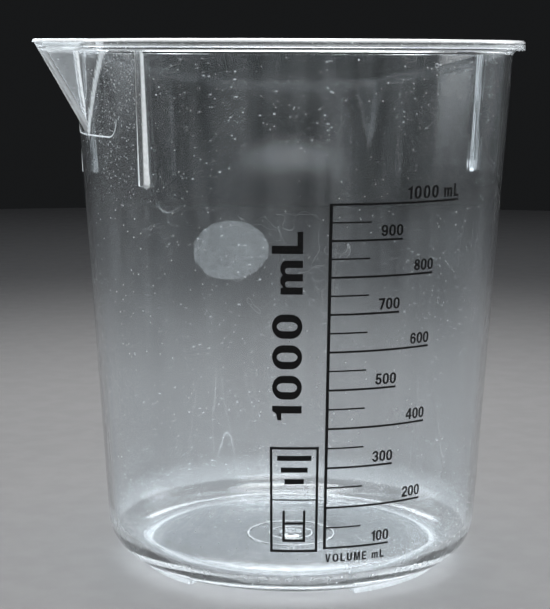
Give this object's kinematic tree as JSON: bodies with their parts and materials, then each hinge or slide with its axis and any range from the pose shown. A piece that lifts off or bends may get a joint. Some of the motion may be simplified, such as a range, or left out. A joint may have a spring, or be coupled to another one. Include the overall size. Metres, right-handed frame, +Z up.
{
  "type": "beaker",
  "caption": "Clear plastic low-form beaker with a tapered round wall, flanged rim, creased pouring spout, stacking ribs, interrupted foot ring and a printed volume scale.",
  "frame": {"origin": "under the middle of the bounding box, on the plane that the foot ring stands on; the round wall's own axis is 5.3 mm from it towards +X", "axes": "+Z up along the wall's axis; the spout points to -X; the print faces -Y and the write-on patch faces +Y"},
  "size_m": [0.1424, 0.1318, 0.151],
  "materials": {
    "clear_plastic": "clear, glossy",
    "black_ink": "satin printed ink",
    "matt_patch": "matt, translucent"
  },
  "bodies": {
    "root": {"beaker_body": "clear_plastic", "capacity_mark_character_1": "black_ink", "capacity_mark_character_2": "black_ink", "capacity_mark_character_3": "black_ink", "capacity_mark_character_4": "black_ink", "capacity_mark_character_5": "black_ink", "capacity_mark_character_6": "black_ink", "graduation_scale": "black_ink", "legend_character_1": "black_ink", "legend_character_2": "black_ink", "legend_character_3": "black_ink", "legend_character_4": "black_ink", "legend_character_5": "black_ink", "legend_character_6": "black_ink", "legend_character_7": "black_ink", "legend_character_8": "black_ink", "numeral_1000_character_1": "black_ink", "numeral_1000_character_2": "black_ink", "numeral_1000_character_3": "black_ink", "numeral_1000_character_4": "black_ink", "numeral_1000_character_5": "black_ink", "numeral_1000_character_6": "black_ink", "numeral_100_character_1": "black_ink", "numeral_100_character_2": "black_ink", "numeral_100_character_3": "black_ink", "numeral_200_character_1": "black_ink", "numeral_200_character_2": "black_ink", "numeral_200_character_3": "black_ink", "numeral_300_character_1": "black_ink", "numeral_300_character_2": "black_ink", "numeral_300_character_3": "black_ink", "numeral_400_character_1": "black_ink", "numeral_400_character_2": "black_ink", "numeral_400_character_3": "black_ink", "numeral_500_character_1": "black_ink", "numeral_500_character_2": "black_ink", "numeral_500_character_3": "black_ink", "numeral_600_character_1": "black_ink", "numeral_600_character_2": "black_ink", "numeral_600_character_3": "black_ink", "numeral_700_character_1": "black_ink", "numeral_700_character_2": "black_ink", "numeral_700_character_3": "black_ink", "numeral_800_character_1": "black_ink", "numeral_800_character_2": "black_ink", "numeral_800_character_3": "black_ink", "numeral_900_character_1": "black_ink", "numeral_900_character_2": "black_ink", "numeral_900_character_3": "black_ink", "symbol_bar_1": "black_ink", "symbol_bar_2": "black_ink", "symbol_bar_3": "black_ink", "symbol_cup": "black_ink", "symbol_frame": "black_ink", "write_on_patch": "matt_patch"}
  },
  "joints": []
}
